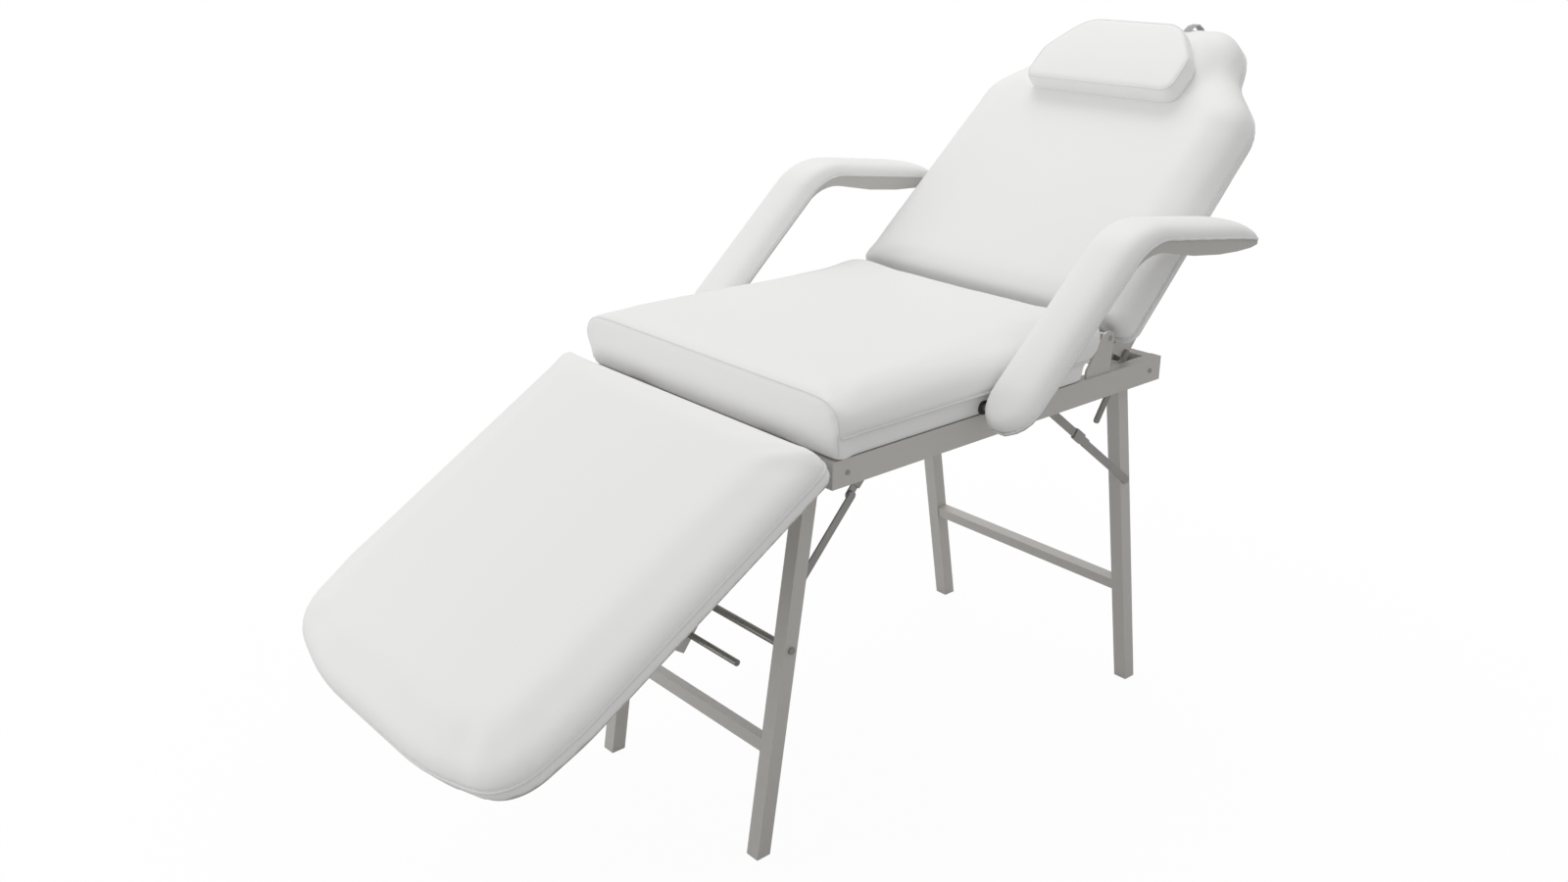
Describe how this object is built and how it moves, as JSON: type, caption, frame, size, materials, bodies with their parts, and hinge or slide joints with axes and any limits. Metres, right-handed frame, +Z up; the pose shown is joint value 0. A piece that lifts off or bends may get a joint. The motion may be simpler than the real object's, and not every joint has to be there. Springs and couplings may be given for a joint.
{
  "type": "facial treatment chair",
  "caption": "Folding facial treatment chair: padded seat on a tube frame with a reclining backrest, hinged leg rest on a prop, pull-out arms and fold-away legs.",
  "frame": {"origin": "on the floor, at the middle of the whole chair's length and width as it stands in the picture", "axes": "+Z up, +Y towards the head end, +X towards the recline lever's side"},
  "size_m": [0.7896, 1.6754, 1.1542],
  "materials": {
    "white_leather": "smooth white faux leather with a faint grain",
    "frame_paint": "warm light grey powder coat",
    "dark_steel": "dark plain steel",
    "bright_steel": "zinc plated steel",
    "grey_plastic": "moulded grey plastic",
    "black_plastic": "moulded black plastic",
    "panel_board": "plain panel board",
    "elastic": "white elastic band"
  },
  "bodies": {
    "frame": {"side_rail_left": "frame_paint", "side_rail_right": "frame_paint", "front_cross_tube": "frame_paint", "rear_cross_tube": "frame_paint", "rail_end_plugs": "grey_plastic", "rail_screws": "bright_steel", "seat_base": "white_leather", "seat_cushion": "white_leather", "hinge_gusset_left": "frame_paint", "hinge_gusset_right": "frame_paint", "backrest_pivot_bolts": "bright_steel", "front_leg_axle": "bright_steel", "rear_leg_axle": "bright_steel", "leg_rest_hinge_fixed": "bright_steel", "front_brace_lugs": "bright_steel", "rear_brace_studs": "bright_steel", "arm_bushes": "black_plastic"},
    "backrest": {"backrest_board": "panel_board", "backrest_cushion": "white_leather", "backrest_arm_left": "frame_paint", "backrest_arm_right": "frame_paint", "lever_pivot_bolt": "bright_steel"},
    "lever": {"recline_lever": "dark_steel"},
    "pillow": {"head_pillow": "white_leather", "pillow_strap": "elastic"},
    "leg_rest": {"leg_rest_board": "panel_board", "leg_rest_cushion": "white_leather", "leg_rest_hinge_moving": "bright_steel", "leg_rest_hinge_pins": "bright_steel", "prop_bracket": "frame_paint", "prop_pivot_bolt": "bright_steel"},
    "prop": {"prop_strut": "frame_paint", "prop_handle": "dark_steel"},
    "front_legs": {"front_leg_left": "frame_paint", "front_leg_right": "frame_paint", "front_stretcher": "frame_paint", "rest_bar": "dark_steel", "rest_bar_bolts": "bright_steel", "front_foot_caps": "grey_plastic", "front_brace_leg_studs": "bright_steel"},
    "rear_legs": {"rear_leg_left": "frame_paint", "rear_leg_right": "frame_paint", "rear_stretcher": "frame_paint", "rear_foot_caps": "grey_plastic", "rear_brace_leg_studs": "bright_steel"},
    "arm_left": {"arm_board_left": "panel_board", "arm_pad_left": "white_leather", "arm_plate_left": "bright_steel"},
    "arm_right": {"arm_board_right": "panel_board", "arm_pad_right": "white_leather", "arm_plate_right": "bright_steel"},
    "front_upper_links": {"front_brace_upper_links": "bright_steel"},
    "front_lower_links": {"front_brace_lower_links": "bright_steel"},
    "front_collar_left": {"front_lock_collar_left": "bright_steel"},
    "front_collar_right": {"front_lock_collar_right": "bright_steel"},
    "rear_upper_links": {"rear_brace_upper_links": "bright_steel"},
    "rear_lower_links": {"rear_brace_lower_links": "bright_steel"},
    "rear_collar_left": {"rear_lock_collar_left": "bright_steel"},
    "rear_collar_right": {"rear_lock_collar_right": "bright_steel"}
  },
  "joints": [
    {"name": "backrest_recline", "type": "hinge", "parent": "frame", "child": "backrest", "pos_m": [0, 0.33244, 0.708], "axis": [1, 0, 0], "range_deg": [-42.5, 25]},
    {"name": "recline_lever_pull", "type": "hinge", "parent": "backrest", "child": "lever", "pos_m": [0, 0.40515, 0.66477], "axis": [-1, 0, 0], "range_deg": [0, 20]},
    {"name": "pillow_lift_off", "type": "slide", "parent": "backrest", "child": "pillow", "axis": [0, 0.7373, 0.6756], "range_m": [0, 0.12]},
    {"name": "leg_rest_tilt", "type": "hinge", "parent": "frame", "child": "leg_rest", "pos_m": [0, -0.27256, 0.65], "axis": [-1, 0, 0], "range_deg": [0, 31]},
    {"name": "prop_swing", "type": "hinge", "parent": "leg_rest", "child": "prop", "pos_m": [0, -0.49695, 0.48951], "axis": [-1, 0, 0], "range_deg": [0, 45]},
    {"name": "front_leg_fold", "type": "hinge", "parent": "frame", "child": "front_legs", "pos_m": [0, -0.22256, 0.632], "axis": [1, 0, 0], "range_deg": [0, 99.1]},
    {"name": "rear_leg_fold", "type": "hinge", "parent": "frame", "child": "rear_legs", "pos_m": [0, 0.42994, 0.632], "axis": [-1, 0, 0], "range_deg": [0, 96.24]},
    {"name": "arm_left_pull_out", "type": "slide", "parent": "frame", "child": "arm_left", "axis": [-1, 0, 0], "range_m": [0, 0.05]},
    {"name": "arm_right_pull_out", "type": "slide", "parent": "frame", "child": "arm_right", "axis": [1, 0, 0], "range_m": [0, 0.05]},
    {"name": "front_upper_link_fold", "type": "hinge", "parent": "frame", "child": "front_upper_links", "pos_m": [0, -0.03556, 0.632], "axis": [-1, 0, 0], "range_deg": [0, 47.51]},
    {"name": "front_lower_link_fold", "type": "hinge", "parent": "front_legs", "child": "front_lower_links", "pos_m": [0, -0.2621, 0.38515], "axis": [1, 0, 0], "range_deg": [0, 33.49]},
    {"name": "front_collar_left_slide", "type": "slide", "parent": "front_upper_links", "child": "front_collar_left", "axis": [0, 0.6761, 0.7368], "range_m": [0, 0.02]},
    {"name": "front_collar_right_slide", "type": "slide", "parent": "front_upper_links", "child": "front_collar_right", "axis": [0, 0.6761, 0.7368], "range_m": [0, 0.02]},
    {"name": "rear_upper_link_fold", "type": "hinge", "parent": "frame", "child": "rear_upper_links", "pos_m": [0, 0.19444, 0.632], "axis": [1, 0, 0], "range_deg": [0, 38.21]},
    {"name": "rear_lower_link_fold", "type": "hinge", "parent": "rear_legs", "child": "rear_lower_links", "pos_m": [0, 0.46665, 0.41813], "axis": [-1, 0, 0], "range_deg": [0, 41.02]},
    {"name": "rear_collar_left_slide", "type": "slide", "parent": "rear_upper_links", "child": "rear_collar_left", "axis": [0, -0.7863, 0.6178], "range_m": [0, 0.02]},
    {"name": "rear_collar_right_slide", "type": "slide", "parent": "rear_upper_links", "child": "rear_collar_right", "axis": [0, -0.7863, 0.6178], "range_m": [0, 0.02]}
  ],
  "couplings": [
    {"joint": "front_upper_link_fold", "follows": "front_leg_fold", "ratio": 0.47888},
    {"joint": "front_lower_link_fold", "follows": "front_leg_fold", "ratio": 0.33747},
    {"joint": "rear_upper_link_fold", "follows": "rear_leg_fold", "ratio": 0.39647},
    {"joint": "rear_lower_link_fold", "follows": "rear_leg_fold", "ratio": 0.42568}
  ]
}
